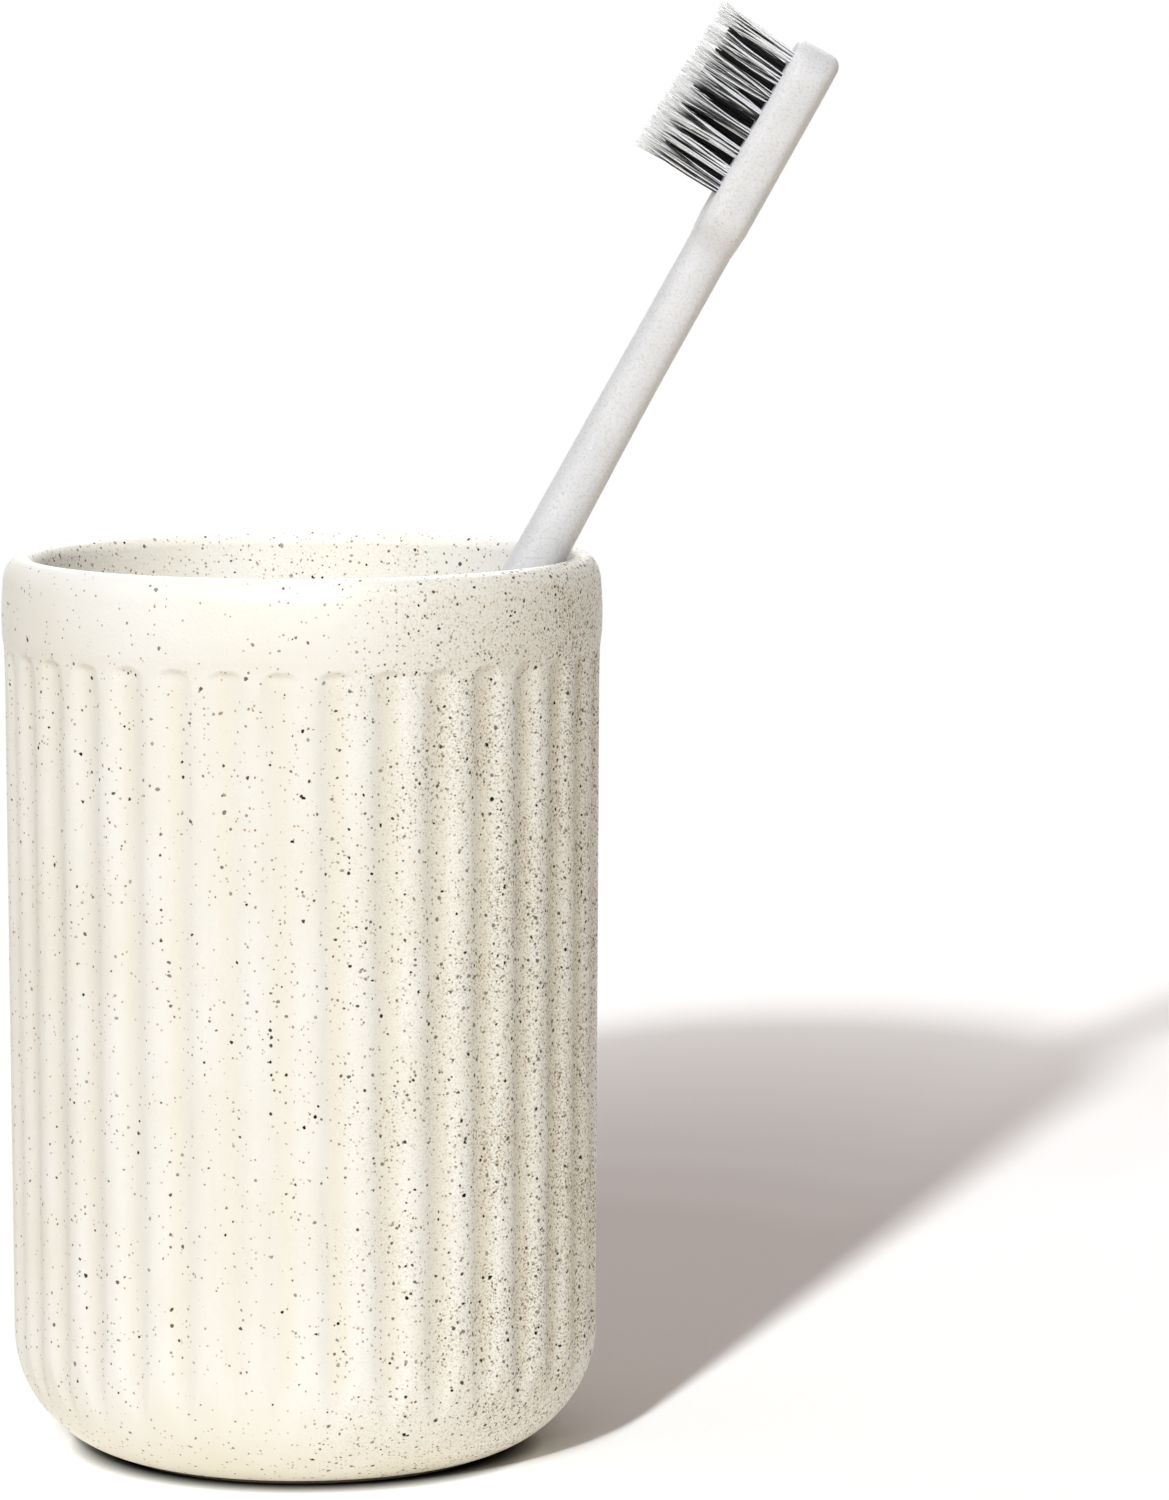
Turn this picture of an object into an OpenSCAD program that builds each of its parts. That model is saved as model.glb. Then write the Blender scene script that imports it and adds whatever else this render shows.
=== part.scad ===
// A ribbed stoneware tumbler that holds toothbrushes, with one brush standing in it.
// The origin is the centre of the tumbler's foot, on the surface it stands on, and +Z is up.
// The brush leans towards +X, and its bristles point up and towards -X.

/* [Tumbler] */
// Diameter over the plain band at the rim
cup_d = 70; // [68:0.5:74]
// Height from the surface it stands on to the lip
cup_h = 105.4; // [102:0.2:110]
// Thickness of the wall at the band
wall = 4; // [3.6:0.1:4.6]
// Height of the inside floor above the surface it stands on
floor_h = 5; // [4.6:0.1:6]
// Radius of the outside corner between wall and base
corner_r = 14.8; // [13.5:0.1:15.5]
// Radius of the inside corner between wall and floor
inner_corner_r = 8; // [7:0.1:9]
// How much smaller the wall's radius is at the bottom than at the band, inside and out
wall_taper = 0.45; // [0.2:0.05:0.7]

/* [Rim] */
// Height of the plain band at the rim
band_h = 10.2; // [9.4:0.1:12]
// How far the band stands proud of the ridges
band_proud = 0.25; // [0.1:0.05:0.4]
// Width of the lip's soft outer shoulder
shoulder_w = 2.2; // [1.8:0.1:2.3]
// Height of the lip's soft outer shoulder
shoulder_h = 3.4; // [2.4:0.1:4.4]
// Radius of the lip's inner edge
lip_inner_r = 1.6; // [1.2:0.1:1.7]

/* [Flutes] */
// Number of flutes round the wall
flute_count = 35; // [33:1:37]
// Depth of a flute below the ridges
flute_depth = 0.75; // [0.5:0.05:0.9]
// Width of the ridge left between two flutes
ridge_w = 1.7; // [1.3:0.1:2.1]
// Height of the arched end of a flute, under the band
flute_end_h = 1.1; // [0.8:0.1:1.5]
// How far a flute's curve is set below the corner's, so that it runs out above the base
flute_fade = 1.4; // [1.1:0.1:1.8]

/* [Foot] */
// Diameter of the flat unglazed foot
foot_d = 45; // [42:0.5:46]
// Height of the foot below the glazed base
foot_h = 0.65; // [0.5:0.05:0.9]

/* [Brush handle] */
// Whole length of the brush
brush_len = 179.6; // [176:0.2:190]
// Angle, from straight down, at which the brush's end meets the tumbler's inside corner
end_rest_angle = 45; // [43:0.5:50]
// Thickness of the handle, from the bristle side to the back
handle_t = 6; // [5.4:0.1:6.4]
// Width of the handle where it is gripped
handle_w = 8; // [7:0.2:9]
// Width of the neck below the head
neck_w = 6.4; // [6:0.1:7]
// Width of the head
head_w = 10.4; // [10:0.1:12]
// Thickness of the neck
neck_t = 5.4; // [5.1:0.1:5.5]
// Thickness of the head at its back end
head_t = 5.6; // [5.4:0.1:6]
// Gap between the brush and the tumbler where the two meet
seat_gap = 0.3; // [0.25:0.05:0.35]

/* [Bristles] */
// Distance between two tufts along the head
tuft_pitch = 2.44; // [2.38:0.02:2.48]
// Distance between two columns of tufts across the head
column_pitch = 3; // [2.8:0.05:3.1]
// Diameter of the hole that a tuft stands in
tuft_hole_d = 1.7; // [1.6:0.05:1.8]
// Depth of the hole that a tuft stands in
tuft_hole_depth = 3.4; // [3:0.1:4]
// Gap round a tuft's root in its hole
tuft_gap = 0.03; // [0.02:0.01:0.05]
// Height of the white bristles above the head, at its tip
white_len = 9.9; // [9:0.1:11]
// Height of the charcoal bristles above the head, at its tip
charcoal_len = 8.3; // [7.4:0.1:9.4]
// How much higher the bristles are trimmed with each row back from the head's tip
trim_step = 0.13; // [0:0.01:0.2]
// Angle at which the bristles lean towards the head's tip
bristle_slant = 4.5; // [3:0.5:6]
// Thickness of a single bristle
bristle_d = 0.19; // [0.17:0.01:0.2]
// Thickness of the metal plate that anchors a tuft
anchor_t = 0.25; // [0.2:0.01:0.3]
// Height of the metal plate that anchors a tuft
anchor_h = 1.4; // [1.2:0.1:1.6]

/* [Hidden] */
white_rows = 8;
charcoal_rows = white_rows - 1;

// Cuts run past the faces that they open by this much
overrun = 2;

// Tumbler, worked out from the driving sizes
cup_r = cup_d / 2;
band_bottom_z = cup_h - band_h;
ridge_top_r = cup_r - band_proud;
ridge_low_r = ridge_top_r - wall_taper;
inner_r = cup_r - wall;
foot_r = foot_d / 2;
corner_x = ridge_low_r - corner_r;
inner_low_r = inner_r - wall_taper;
inner_corner_x = inner_low_r - inner_corner_r;
inner_corner_z = floor_h + inner_corner_r;
// The band's shoulder, its slight bulge and the slope under it, as shares of the sizes that they follow
band_points = 8;
band_bulge = 0.15;
band_edge_slope_share = 0.08;
// Angle from straight down at which the corner's curve gives way to the flat ledge round the foot
ledge_angle = acos(1 - foot_h / corner_r);
ledge_r = corner_x + corner_r * sin(ledge_angle);

// Flutes: a round cutter that leaves a ridge of the named width between each two
flute_step = 360 / flute_count;
flute_half_angle = flute_step / 2 - asin(ridge_w / 2 / ridge_top_r);
valley_r = ridge_top_r - flute_depth;
flute_chord_x = ridge_top_r * cos(flute_half_angle);
flute_chord_y = ridge_top_r * sin(flute_half_angle);
cutter_r = (pow(flute_chord_y, 2) + pow(flute_chord_x - valley_r, 2)) / (2 * (flute_chord_x - valley_r));
cutter_tilt = atan(wall_taper / (band_bottom_z - corner_r));
cutter_sweep_r = corner_r - flute_depth + cutter_r;
cutter_len = (band_bottom_z - corner_r) / cos(cutter_tilt) + flute_fade - flute_end_h;
cutter_end_drop = flute_depth + band_proud / 2;
corner_sweep = 90 - ledge_angle / 2;
sector_inner_r = (foot_r + ledge_r) / 2;
sector_outer_r = cup_r + overrun;
// A ridge stands this far round from the side that faces -Y
ridge_phase = 1;

// Brush: its end stands in the inside corner, and its back leans on the lip's inner edge. Its rounded end is
// centred on end_x and end_z, and its middle line passes the centre of the lip's edge at lip_reach
end_r = handle_t / 2;
lip_x = inner_r + lip_inner_r;
lip_z = cup_h - lip_inner_r;
end_reach = inner_corner_r - end_r - seat_gap;
end_x = -inner_corner_x - end_reach * sin(end_rest_angle);
end_z = inner_corner_z - end_reach * cos(end_rest_angle);
lip_reach = lip_inner_r + seat_gap + end_r;
lean = atan((lip_x - end_x) / (lip_z - end_z)) - asin(lip_reach / norm([lip_x - end_x, lip_z - end_z]));
brush_x = end_x - end_r * sin(lean);
brush_z = end_z - end_r * cos(lean);

// Handle: where its widths change, as lengths back from the tip
nose_len = 4.6;
tip_front_r = 0.9;
tip_back_r = 1.5;
last_tuft_back = 3;
head_taper_len = 3.8;
neck_len = 12;
grip_taper_len = 38;
head_len = (white_rows - 1) * tuft_pitch + 2 * last_tuft_back;
neck_start = head_len + head_taper_len;
neck_end = neck_start + neck_len;
grip_start = neck_end + grip_taper_len;
end_len = 4;
face_crown = 0.5;
handle_sides = 20;
// Squareness of the section, 2 for an ellipse and more for a box with soft corners
grip_square = 2.5;
head_square = 3.4;

// Tufts
root_r = tuft_hole_d / 2 - tuft_gap;
root_len = tuft_hole_depth - tuft_gap;
strands = 18;
strand_field_r = root_r - bristle_d;
white_fan_share = 0.46;
charcoal_fan_share = 0.44;
strand_root = 0.4;
tip_spread_share = 0.04;
golden_angle = 137.508;

glaze_colour = [0.93, 0.91, 0.85];
handle_colour = [0.88, 0.87, 0.86];
white_colour = [0.96, 0.95, 0.92];
charcoal_colour = [0.1, 0.1, 0.11];
metal_colour = [0.72, 0.68, 0.55];

// The part of the band's outline from its lower edge to the top of the lip
function band_outline() = concat(
    [[ridge_top_r, band_bottom_z]],
    [for (i = [0:band_points])
        let (t = i / band_points, rise = band_edge_slope_share + (1 - band_edge_slope_share) * t)
        [cup_r - band_bulge * pow(2 * t - 1, 2),
         band_bottom_z + (band_h - shoulder_h) * rise]],
    [for (i = [1:band_points])
        let (a = 90 * i / band_points)
        [cup_r - band_bulge - shoulder_w * (1 - cos(a)), cup_h - shoulder_h * (1 - sin(a))]]);

module outer_outline() {
    polygon(concat(
        [[0, corner_r], [ridge_low_r, corner_r]],
        band_outline(),
        [[0, cup_h]]));
    intersection() {
        translate([corner_x, corner_r]) circle(r = corner_r, $fn = 180);
        translate([corner_x, foot_h]) square([corner_r + overrun, corner_r - foot_h]);
    }
    translate([0, foot_h]) square([corner_x, corner_r - foot_h]);
    square([foot_r, foot_h]);
}

module inner_outline() {
    polygon([[0, inner_corner_z], [inner_low_r, inner_corner_z], [inner_r, lip_z], [0, lip_z]]);
    translate([0, floor_h]) square([inner_corner_x, inner_corner_r]);
    intersection() {
        translate([inner_corner_x, inner_corner_z]) circle(r = inner_corner_r, $fn = 120);
        translate([0, floor_h]) square([inner_low_r, inner_corner_r]);
    }
    // The rounded inner edge of the lip
    difference() {
        translate([0, lip_z]) square([lip_x, lip_inner_r + overrun]);
        translate([lip_x, lip_z]) circle(r = lip_inner_r, $fn = 60);
    }
}

// One flute: a round cutter down the wall, with an arched end, and a part ring round the corner.
// It is kept to its own sector of the wall, so that no two cutters meet
module flute_cutter() {
    intersection() {
        translate([corner_x, 0, corner_r]) rotate([0, cutter_tilt, 0]) translate([0, 0, -flute_fade]) union() {
            translate([cutter_sweep_r, 0, 0]) {
                cylinder(r = cutter_r, h = cutter_len, $fn = 96);
                translate([0, 0, cutter_len])
                    cylinder(r1 = cutter_r, r2 = cutter_r - cutter_end_drop, h = flute_end_h, $fn = 96);
            }
            rotate([90, 0, 0]) rotate_extrude(angle = -corner_sweep, $fn = 180)
                translate([cutter_sweep_r, 0]) circle(r = cutter_r, $fn = 96);
        }
        linear_extrude(height = cup_h) polygon([
            for (r = [sector_inner_r, sector_outer_r], side = r == sector_inner_r ? [1, -1] : [-1, 1])
                r * [1, side * tan(flute_step / 2)]]);
    }
}

// The solid block of the tumbler with its first flutes cut, one after another
module fluted_block(cuts) {
    if (cuts == 0)
        rotate_extrude($fn = 210) outer_outline();
    else
        difference() {
            fluted_block(cuts - 1);
            rotate([0, 0, (cuts - 1 / 2) * flute_step]) flute_cutter();
        }
}

module tumbler() {
    color(glaze_colour) rotate([0, 0, ridge_phase - 90]) difference() {
        fluted_block(flute_count);
        rotate_extrude($fn = 210) inner_outline();
    }
}

// Everything of the brush is drawn standing on its end, back towards +X, and then leaned into place
module place_brush() {
    translate([brush_x, 0, brush_z]) rotate([0, lean, 0]) children();
}

// Smooth change from 0 to 1 as s goes from a to b
function ease(s, a, b) = let (t = min(1, max(0, (s - a) / (b - a)))) t * t * (3 - 2 * t);
// Share of the full size left at a distance q from a rounded end of length r
function round_share(q, r) = q >= r ? 1 : sqrt(1 - pow(1 - q / r, 2));
// Length lost to an edge of radius r at a distance q from the end
function edge_loss(q, r) = q >= r ? 0 : r - sqrt(pow(r, 2) - pow(r - q, 2));

function head_share(s) = ease(s, brush_len - neck_start, brush_len - head_len);
function neck_share(s) = ease(s, brush_len - grip_start, brush_len - neck_end);
function half_width(s) = round_share(s, end_len) * round_share(brush_len - s, nose_len) * (
    handle_w / 2
    + (neck_w - handle_w) / 2 * neck_share(s)
    + (head_w - neck_w) / 2 * head_share(s));
function back_depth(s) = round_share(s, end_r) * handle_t / 2
    - (handle_t - neck_t) * neck_share(s) + (head_t - neck_t) * head_share(s)
    - edge_loss(brush_len - s, tip_back_r);
function front_depth(s) = round_share(s, end_r) * handle_t / 2
    + face_crown * head_share(s) - edge_loss(brush_len - s, tip_front_r);
function face_depth(s) = handle_t / 2 - edge_loss(brush_len - s, tip_front_r);
function squareness(s) = grip_square + (head_square - grip_square) * head_share(s);

function soft_power(v, e) = sign(v) * pow(abs(v), e);
function handle_ring(s) = [for (i = [0:handle_sides - 1])
    let (a = 360 * i / handle_sides, e = 2 / squareness(s),
         x = cos(a) > 0 ? back_depth(s) * soft_power(cos(a), e) : front_depth(s) * soft_power(cos(a), e))
    [max(x, -face_depth(s)), half_width(s) * soft_power(sin(a), e), s]];

end_steps = 6;
function round_end(len) = [for (i = [0:end_steps]) len * (1 - cos(10 + 80 * i / end_steps))];
handle_stations = concat(
    round_end(end_len),
    [brush_len / 3],
    [for (i = [0:5]) brush_len - grip_start + grip_taper_len * i / 5],
    [for (i = [0:5]) brush_len - neck_start + head_taper_len * i / 5],
    [brush_len - head_len / 2],
    [for (i = [end_steps:-1:0]) brush_len - nose_len * (1 - cos(10 + 80 * i / end_steps))]);

// A closed skin through rings that all have the same number of points
module skin(rings) {
    n = len(rings[0]);
    last = len(rings) - 1;
    sides = [for (r = [0:last - 1], i = [0:n - 1])
        let (j = (i + 1) % n, a = r * n + i, b = r * n + j, c = a + n, d = b + n)
        each [[a, d, b], [a, c, d]]];
    bottom = [for (i = [1:n - 2]) [0, i, i + 1]];
    top = [for (i = [1:n - 2]) [last * n, last * n + i + 1, last * n + i]];
    polyhedron(points = [for (r = rings) each r], faces = concat(sides, bottom, top), convexity = 4);
}

// Places a tuft's children at the head's flat face, with +Z out along the bristles
module place_tuft(along, across) {
    place_brush()
        translate([-handle_t / 2, across, brush_len - last_tuft_back - along])
            rotate([0, -90, 0]) children();
}
module place_all_tufts() {
    for (i = [1:white_rows], side = [-1, 1])
        place_tuft((white_rows - i) * tuft_pitch, side * column_pitch) children();
    for (i = [1:charcoal_rows])
        place_tuft((charcoal_rows - i + 1 / 2) * tuft_pitch, 0) children();
}

module brush_handle() {
    color(handle_colour) difference() {
        place_brush() skin([for (s = handle_stations) handle_ring(s)]);
        place_all_tufts()
            translate([0, 0, -tuft_hole_depth])
                cylinder(d = tuft_hole_d, h = tuft_hole_depth + overrun, $fn = 24);
    }
}

// One bristle, three-sided, from a point in the tuft's root to its tip
module strand(from, to) {
    r = bristle_d / 2;
    ring = [for (i = [0:2]) [r * cos(120 * i), r * sin(120 * i), 0]];
    skin([[for (p = ring) from + p], [for (p = ring) to + p]]);
}

// A tuft: bristles that fan out of a round root, which is slotted for its anchor plate
module tuft(bristle_len, fan_share) {
    translate([0, 0, -root_len]) difference() {
        cylinder(r = root_r, h = root_len, $fn = 12);
        translate([-anchor_t / 2 - tuft_gap, -root_r - overrun, -overrun])
            cube([anchor_t + 2 * tuft_gap, 2 * (root_r + overrun), anchor_h + tuft_gap + overrun]);
    }
    for (i = [0:strands - 1]) {
        a = golden_angle * i;
        d = strand_field_r * sqrt((i + 1 / 2) / strands);
        tip_d = d / strand_field_r * fan_share * tuft_pitch;
        tip_z = bristle_len * (1 - tip_spread_share * (i * 5 % 7) / 7);
        root_d = d - (tip_d - d) * strand_root / bristle_len;
        strand([root_d * cos(a), root_d * sin(a), -strand_root],
               [tip_d * cos(a) + tip_z * tan(bristle_slant), tip_d * sin(a), tip_z]);
    }
}

module white_tuft(row, side) {
    color(white_colour)
        place_tuft((white_rows - row) * tuft_pitch, side * column_pitch)
            tuft(white_len + (white_rows - row) * trim_step, white_fan_share);
}

module charcoal_tuft(row) {
    color(charcoal_colour)
        place_tuft((charcoal_rows - row + 1 / 2) * tuft_pitch, 0)
            tuft(charcoal_len + (charcoal_rows - row + 1 / 2) * trim_step, charcoal_fan_share);
}

module tuft_anchors() {
    color(metal_colour) place_all_tufts()
        translate([-anchor_t / 2, -root_r + tuft_gap, -tuft_hole_depth + tuft_gap])
            cube([anchor_t, 2 * (root_r - tuft_gap), anchor_h]);
}

tumbler();
brush_handle();
tuft_anchors();
for (i = [1:white_rows]) {
    white_tuft(i, -1);
    white_tuft(i, 1);
}
for (i = [1:charcoal_rows]) {
    charcoal_tuft(i);
}
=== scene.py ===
# Looks of a speckled stoneware tumbler that holds toothbrushes, with one brush leaning in it.
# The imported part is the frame: metres, +Z up, the origin on the table under the middle of the foot.
from math import acos, asin, atan2, cos, hypot, pi, radians, sin, sqrt, tan

import bpy
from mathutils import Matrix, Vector


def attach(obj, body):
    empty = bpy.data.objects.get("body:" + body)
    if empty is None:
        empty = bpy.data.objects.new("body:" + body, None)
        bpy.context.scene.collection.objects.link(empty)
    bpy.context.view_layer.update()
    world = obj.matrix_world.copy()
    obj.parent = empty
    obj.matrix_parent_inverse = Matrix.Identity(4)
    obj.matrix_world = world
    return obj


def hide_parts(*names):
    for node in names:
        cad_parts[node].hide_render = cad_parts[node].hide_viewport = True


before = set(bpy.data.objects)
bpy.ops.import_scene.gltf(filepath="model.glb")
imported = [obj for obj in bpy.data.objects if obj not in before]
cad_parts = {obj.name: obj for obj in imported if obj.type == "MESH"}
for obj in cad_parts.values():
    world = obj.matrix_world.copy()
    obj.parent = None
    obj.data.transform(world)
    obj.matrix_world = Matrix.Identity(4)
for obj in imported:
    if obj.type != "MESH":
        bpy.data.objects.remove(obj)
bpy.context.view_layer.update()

MM = 0.001

# Tumbler, in millimetres and degrees, as in the part's source
CUP_R = 35.0
CUP_H = 105.4
WALL = 4.0
FLOOR_H = 5.0
CORNER_R = 14.8
INNER_CORNER_R = 8.0
WALL_TAPER = 0.45
BAND_H = 10.2
BAND_PROUD = 0.25
BAND_BULGE = 0.15
SHOULDER_W = 2.2
SHOULDER_H = 3.4
LIP_INNER_R = 1.6
FLUTE_COUNT = 35
FLUTE_DEPTH = 0.75
FLUTE_END_H = 1.1
FLUTE_FADE = 1.4
RIDGE_PHASE = 1.0
FOOT_R = 22.5
FOOT_H = 0.65

RIDGE_LOW_R = CUP_R - BAND_PROUD - WALL_TAPER
BAND_BOTTOM_Z = CUP_H - BAND_H
LIP_Z = CUP_H - LIP_INNER_R
INNER_R = CUP_R - WALL
INNER_LOW_R = INNER_R - WALL_TAPER
INNER_CORNER_X = INNER_LOW_R - INNER_CORNER_R
INNER_CORNER_Z = FLOOR_H + INNER_CORNER_R

# The tumbler's soft edges, in millimetres
FOOT_EDGE_R = 0.2
FOOT_STEP_W = 0.05
BAND_EDGE_RISE = 1.3
BAND_EDGE_DROP = 0.9
BAND_EDGE_H = 2.1
FLUTE_END_ROUND_H = 1.5
FLUTE_SHALLOW_END = 0.16
FLUTE_SHALLOW_DROP = 0.8
FLUTE_END_ROWS_H = 3.0
RIDGE_SOFTNESS = 0.08
UNEVENNESS = 0.06

# The foot is wholly bare clay up to this share of its height
BARE_SHARE = 0.75
# From a flute's middle outwards, this share of it is hollow, and the rest is the side of a ridge
VALLEY_SHARE = 0.535
# Waves of the wall's unevenness to a metre
SWAYS_PER_METRE = 45.0

# Rows of the tumbler's outline, shares of the radius at which the flat ones lie, and columns round it
FOOT_SHARES = (0, 0.25, 0.5, 0.75, 0.95)
FLOOR_SHARES = (0.75, 0.5, 0.25, 0)
FOOT_EDGE_ROWS = 4
CORNER_ROWS = 26
WALL_ROWS = 14
FLUTE_END_ROWS = 26
BAND_ROWS = 8
SHOULDER_ROWS = 12
LIP_ROWS = 11
INNER_WALL_ROWS = 8
INNER_CORNER_ROWS = 12
COLUMNS_PER_FLUTE = 18

# Brush, in millimetres and degrees, as in the part's source
BRUSH_LEN = 179.6
HANDLE_T = 6.0
HANDLE_W = 8.0
NECK_W = 6.4
HEAD_W = 10.4
HEAD_T = 5.6
NECK_T = 5.4
SEAT_GAP = 0.3
END_REST_ANGLE = 45.0
NOSE_LEN = 4.6
TIP_FRONT_R = 0.9
TIP_BACK_R = 1.5
LAST_TUFT_BACK = 3.0
HEAD_TAPER_LEN = 3.8
NECK_LEN = 12.0
GRIP_TAPER_LEN = 38.0
END_LEN = 4.0
FACE_CROWN = 0.5

# Squareness of the handle's section, 2 for an ellipse and more for a box with soft corners
GRIP_SQUARE = 2.5
HEAD_SQUARE = 3.4

# Points round the handle, steps along it, and where round its ends' curve the sections start, in degrees
HANDLE_SIDES = 64
HANDLE_END_STEPS = 14
HANDLE_STEPS = 110
FIRST_SECTION_ANGLE = 4.0

# Tufts, in millimetres and degrees, as in the part's source
TUFT_PITCH = 2.44
COLUMN_PITCH = 3.0
WHITE_LEN = 9.9
CHARCOAL_LEN = 8.3
TRIM_STEP = 0.13
BRISTLE_D = 0.19
BRISTLE_SLANT = 4.5
WHITE_ROWS = 8
CHARCOAL_ROWS = 7

# Filaments, in millimetres, and how much nearer to the nose the first and last white rows stand
FRAYED_LEN = 0.35
ROOT_SUNK = 0.4
FILAMENT_BEND = 0.36
FIRST_ROW_SHIFT = 0.35
LAST_ROW_SHIFT = 0.45

# Points along a filament, and sides of its section
FILAMENT_STEPS = 6
FILAMENT_SIDES = 5

# Table and lamps: the width of the painted contact shadow round the foot in millimetres, the rest in
# metres and degrees
CONTACT_SHADOW_W = 5.5
TABLE_HALF_SIZE = 60.0
BACKDROP_START = 0.5
BACKDROP_END = 1.0
LAMP_DISTANCE = 0.8
LAMP_AZIMUTH = 16.0

# Camera fitted to the photograph, in metres and radians, its sensor in millimetres
CAMERA_PLACE = (0, -0.820, 0.177015)
CAMERA_DOWN = 0.115
CAMERA_TURN = -0.0401
FOCAL_PIXELS = 7062.46
PICTURE_HEIGHT = 1500
SENSOR_HEIGHT = 36.0


# Node trees

class Field:
    """A value that nodes work out, so that a formula can be written as an ordinary sum."""

    def __init__(self, tree, socket):
        self.tree = tree
        self.socket = socket

    def math(self, operation, *others):
        node = self.tree.nodes.new("ShaderNodeMath")
        node.operation = operation
        for slot, value in zip(node.inputs, (self, *others)):
            connect(self.tree, slot, value)
        return Field(self.tree, node.outputs[0])

    def __add__(self, other):
        return self.math("ADD", other)

    def __sub__(self, other):
        return self.math("SUBTRACT", other)

    def __mul__(self, other):
        return self.math("MULTIPLY", other)

    def __truediv__(self, other):
        return self.math("DIVIDE", other)

    def __rsub__(self, other):
        return (self * -1) + other

    __radd__ = __add__
    __rmul__ = __mul__


def connect(tree, slot, value):
    """Gives an input a plain value, or links it to a socket or a Field."""
    if isinstance(value, Field):
        value = value.socket
    if isinstance(value, bpy.types.NodeSocket):
        tree.links.new(value, slot)
    else:
        slot.default_value = value


def add_node(tree, kind, inputs=None, **settings):
    """Adds a node, with its settings and with its inputs by name or number."""
    node = tree.nodes.new(kind)
    for name, value in settings.items():
        setattr(node, name, value)
    for name, value in (inputs or {}).items():
        connect(tree, node.inputs[name], value)
    return node


def output(node, name=0):
    return Field(node.id_data, node.outputs[name])


def parts_of(vector):
    """The X, Y and Z of a vector Field."""
    split = add_node(vector.tree, "ShaderNodeSeparateXYZ", {0: vector})
    return [output(split, i) for i in range(3)]


def vector_of(tree, x, y, z):
    return output(add_node(tree, "ShaderNodeCombineXYZ", {0: x, 1: y, 2: z}))


def vector_math(operation, a, b):
    node = add_node(a.tree, "ShaderNodeVectorMath", operation=operation)
    connect(a.tree, node.inputs[0], a)
    connect(a.tree, node.inputs["Scale" if operation == "SCALE" else 1], b)
    return output(node)


def length_of(vector):
    node = add_node(vector.tree, "ShaderNodeVectorMath", {0: vector}, operation="LENGTH")
    return output(node, "Value")


def named_attribute(tree, name, kind="FLOAT"):
    """An attribute of the mesh, for a geometry tree."""
    node = add_node(tree, "GeometryNodeInputNamedAttribute", {"Name": name}, data_type=kind)
    return output(node)


def store_attribute(tree, geometry, name, value, kind="FLOAT"):
    inputs = {"Geometry": geometry, "Name": name}
    node = add_node(tree, "GeometryNodeStoreNamedAttribute", inputs, data_type=kind, domain="POINT")
    connect(tree, node.inputs["Value"], value)
    return node.outputs[0]


def geometry_tree(name, inputs):
    """A geometry tree with named inputs, given as {name: kind}. Returns the tree and its input Fields."""
    tree = bpy.data.node_groups.new(name, "GeometryNodeTree")
    tree.interface.new_socket("Geometry", in_out="INPUT", socket_type="NodeSocketGeometry")
    tree.interface.new_socket("Geometry", in_out="OUTPUT", socket_type="NodeSocketGeometry")
    for label, kind in inputs.items():
        tree.interface.new_socket(label, in_out="INPUT", socket_type="NodeSocket" + kind)
    start = tree.nodes.new("NodeGroupInput")
    return tree, {label: Field(tree, start.outputs[label]) for label in ("Geometry", *inputs)}


def end_tree(tree, geometry, material):
    """Ends a tree with real meshes that carry their material."""
    real = add_node(tree, "GeometryNodeRealizeInstances", {0: geometry})
    inputs = {"Geometry": real.outputs[0], "Material": material}
    finished = add_node(tree, "GeometryNodeSetMaterial", inputs)
    last = tree.nodes.new("NodeGroupOutput")
    tree.links.new(finished.outputs[0], last.inputs[0])


def link_object(name, data):
    piece = bpy.data.objects.new(name, data)
    bpy.context.scene.collection.objects.link(piece)
    return piece


def grow(name, points, attributes, tree, values):
    """Runs a geometry tree on points given in millimetres, and returns the mesh object that it makes."""
    mesh = bpy.data.meshes.new(name)
    mesh.from_pydata([[c * MM for c in p] for p in points], [], [])
    for label, rows in attributes.items():
        layer = mesh.attributes.new(label, "FLOAT_VECTOR", "POINT")
        for item, row in zip(layer.data, rows):
            item.vector = row
    piece = link_object(name, mesh)
    modifier = piece.modifiers.new("shape", "NODES")
    modifier.node_group = tree
    for item in tree.interface.items_tree:
        if item.in_out == "INPUT" and item.name in values:
            modifier[item.identifier] = values[item.name]
    bpy.context.view_layer.update()
    grown = piece.evaluated_get(bpy.context.evaluated_depsgraph_get())
    made = bpy.data.meshes.new_from_object(grown)
    piece.modifiers.clear()
    piece.data = made
    made.name = name
    return piece


# Materials

def new_material(name):
    material = bpy.data.materials.new(name)
    material.use_nodes = True
    return material, material.node_tree, material.node_tree.nodes["Principled BSDF"]


def object_place(tree):
    return output(add_node(tree, "ShaderNodeTexCoord"), "Object")


def mesh_mark(tree, name):
    """An attribute of the mesh, for a material."""
    return output(add_node(tree, "ShaderNodeAttribute", attribute_name=name), "Fac")


def noise(tree, place, size_mm, detail=2.0, roughness=0.5):
    """Noise from 0 to 1 whose patches are about the given size."""
    return output(add_node(tree, "ShaderNodeTexNoise", {
        "Vector": place, "Scale": 1 / (size_mm * MM), "Detail": detail, "Roughness": roughness}))


def ramp(value, low, high, out_low=0.0, out_high=1.0):
    """Smooth change from one level to another as value goes from low to high."""
    node = add_node(value.tree, "ShaderNodeMapRange", interpolation_type="SMOOTHSTEP")
    for slot, item in zip(node.inputs, (value, low, high, out_low, out_high)):
        connect(value.tree, slot, item)
    return output(node)


def blend_colours(tree, share, first, second):
    node = add_node(tree, "ShaderNodeMix", data_type="RGBA")
    for slot, item in zip((node.inputs[0], node.inputs[6], node.inputs[7]), (share, first, second)):
        connect(tree, slot, item)
    return output(node, 2)


def blend_numbers(share, first, second):
    return first + (second - first) * share


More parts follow.
